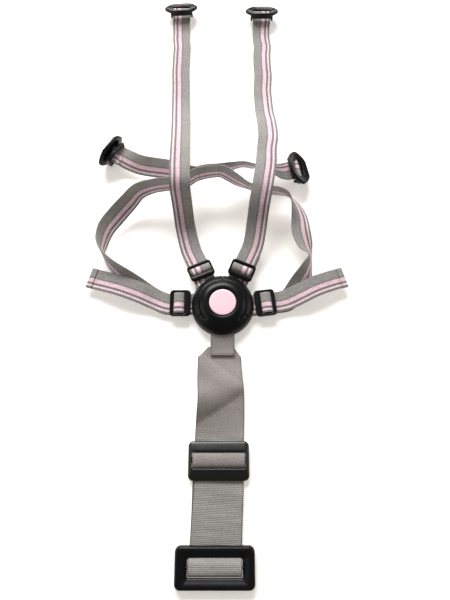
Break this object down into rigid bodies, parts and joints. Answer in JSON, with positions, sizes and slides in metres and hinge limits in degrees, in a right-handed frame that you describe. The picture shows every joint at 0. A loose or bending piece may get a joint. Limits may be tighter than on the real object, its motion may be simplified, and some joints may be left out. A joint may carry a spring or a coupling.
{
  "type": "pushchair harness",
  "caption": "Five-point pushchair harness with round push-button buckle, striped webbing, adjusters and slotted anchors",
  "frame": {"origin": "centre of the buckle's flat back", "axes": "+Y from the buckle towards the shoulder anchors, +Z out of the buckle's face, +X to the right seen from the front"},
  "size_m": [0.313, 0.7659, 0.0532],
  "materials": {
    "black_plastic": "moulded black acetal, fine satin grain, soft sheen on rounded edges",
    "slate_plastic": "moulded charcoal plastic with a slightly glossier satin face",
    "steel": "plain zinc-bright steel",
    "striped_webbing": "ribbed polyester webbing, mid grey with a pink band, a near-white line and mauve lines along one edge",
    "grey_webbing": "wide mid-grey polyester webbing, fine cross ribs, darker selvedges",
    "pink_badge": "pale pink moulded disc, plain, soft gloss"
  },
  "bodies": {
    "harness_body": {"buckle_back_shell": "black_plastic", "buckle_front_cover": "black_plastic", "buckle_screw_1": "steel", "buckle_screw_2": "steel", "buckle_screw_3": "steel", "button_return_spring": "steel", "crotch_tab": "grey_webbing", "crotch_strap": "grey_webbing", "crotch_strap_return": "grey_webbing", "left_shoulder_strap": "striped_webbing", "right_shoulder_strap": "striped_webbing", "waist_strap": "striped_webbing", "back_strap": "striped_webbing"},
    "release_button": {"release_button": "black_plastic", "button_badge": "pink_badge", "latch_plate": "slate_plastic"},
    "left_tongue": {"left_tongue": "black_plastic", "left_shoulder_strap_end": "striped_webbing", "left_waist_strap_end": "striped_webbing"},
    "right_tongue": {"right_tongue": "black_plastic", "right_shoulder_strap_end": "striped_webbing", "right_waist_strap_end": "striped_webbing"},
    "left_shoulder_adjuster": {"left_shoulder_adjuster": "black_plastic", "left_shoulder_adjuster_webbing": "striped_webbing"},
    "right_shoulder_adjuster": {"right_shoulder_adjuster": "black_plastic", "right_shoulder_adjuster_webbing": "striped_webbing"},
    "left_waist_adjuster": {"left_waist_adjuster": "black_plastic", "left_waist_adjuster_webbing": "striped_webbing"},
    "right_waist_adjuster": {"right_waist_adjuster": "black_plastic", "right_waist_adjuster_webbing": "striped_webbing"},
    "crotch_slider": {"crotch_slider": "slate_plastic", "crotch_slider_webbing": "grey_webbing"},
    "crotch_anchor": {"crotch_anchor_frame": "slate_plastic", "crotch_anchor_webbing": "grey_webbing"},
    "left_shoulder_anchor": {"left_shoulder_anchor": "black_plastic"},
    "right_shoulder_anchor": {"right_shoulder_anchor": "black_plastic"},
    "left_waist_anchor": {"left_waist_anchor": "black_plastic"},
    "right_waist_anchor": {"right_waist_anchor": "black_plastic"}
  },
  "joints": [
    {"name": "button_press", "type": "slide", "parent": "harness_body", "child": "release_button", "axis": [0, 0, -1], "range_m": [0, 0.0026], "stiffness_N_per_m": 600, "deforming": ["button_return_spring"]},
    {"name": "left_tongue_pull", "type": "slide", "parent": "harness_body", "child": "left_tongue", "axis": [-1, 0, 0], "range_m": [0, 0.022]},
    {"name": "right_tongue_pull", "type": "slide", "parent": "harness_body", "child": "right_tongue", "axis": [1, 0, 0], "range_m": [0, 0.022]},
    {"name": "left_shoulder_adjust", "type": "slide", "parent": "left_tongue", "child": "left_shoulder_adjuster", "axis": [-0.3957, 0.9151, -0.0776], "range_m": [0, 0.026]},
    {"name": "right_shoulder_adjust", "type": "slide", "parent": "right_tongue", "child": "right_shoulder_adjuster", "axis": [0.3948, 0.9052, 0.1572], "range_m": [0, 0.026]},
    {"name": "left_waist_adjust", "type": "slide", "parent": "left_tongue", "child": "left_waist_adjuster", "axis": [-1, 0, 0], "range_m": [0, 0.008]},
    {"name": "right_waist_adjust", "type": "slide", "parent": "right_tongue", "child": "right_waist_adjuster", "axis": [0.9929, 0.119, 0], "range_m": [0, 0.008]},
    {"name": "crotch_slider_adjust", "type": "slide", "parent": "harness_body", "child": "crotch_slider", "axis": [0, -1, 0], "range_m": [0, 0.035]},
    {"name": "crotch_anchor_fold", "type": "hinge", "parent": "harness_body", "child": "crotch_anchor", "pos_m": [-0.0063, -0.248, 0.0036], "axis": [-1, 0, 0], "range_deg": [0, 45]},
    {"name": "left_shoulder_anchor_tilt", "type": "hinge", "parent": "harness_body", "child": "left_shoulder_anchor", "pos_m": [-0.062, 0.457, 0.0102], "axis": [1, 0, 0], "range_deg": [-20, 15]},
    {"name": "right_shoulder_anchor_tilt", "type": "hinge", "parent": "harness_body", "child": "right_shoulder_anchor", "pos_m": [0.057, 0.451, 0.0102], "axis": [1, 0, 0], "range_deg": [-20, 15]},
    {"name": "left_waist_anchor_tilt", "type": "hinge", "parent": "harness_body", "child": "left_waist_anchor", "pos_m": [-0.1435, 0.2065, 0.0154], "axis": [0.5219, 0.853, 0], "range_deg": [-10, 8]},
    {"name": "right_waist_anchor_tilt", "type": "hinge", "parent": "harness_body", "child": "right_waist_anchor", "pos_m": [0.0955, 0.1815, 0.014], "axis": [0.2, -0.9798, 0], "range_deg": [-25, 6]}
  ]
}
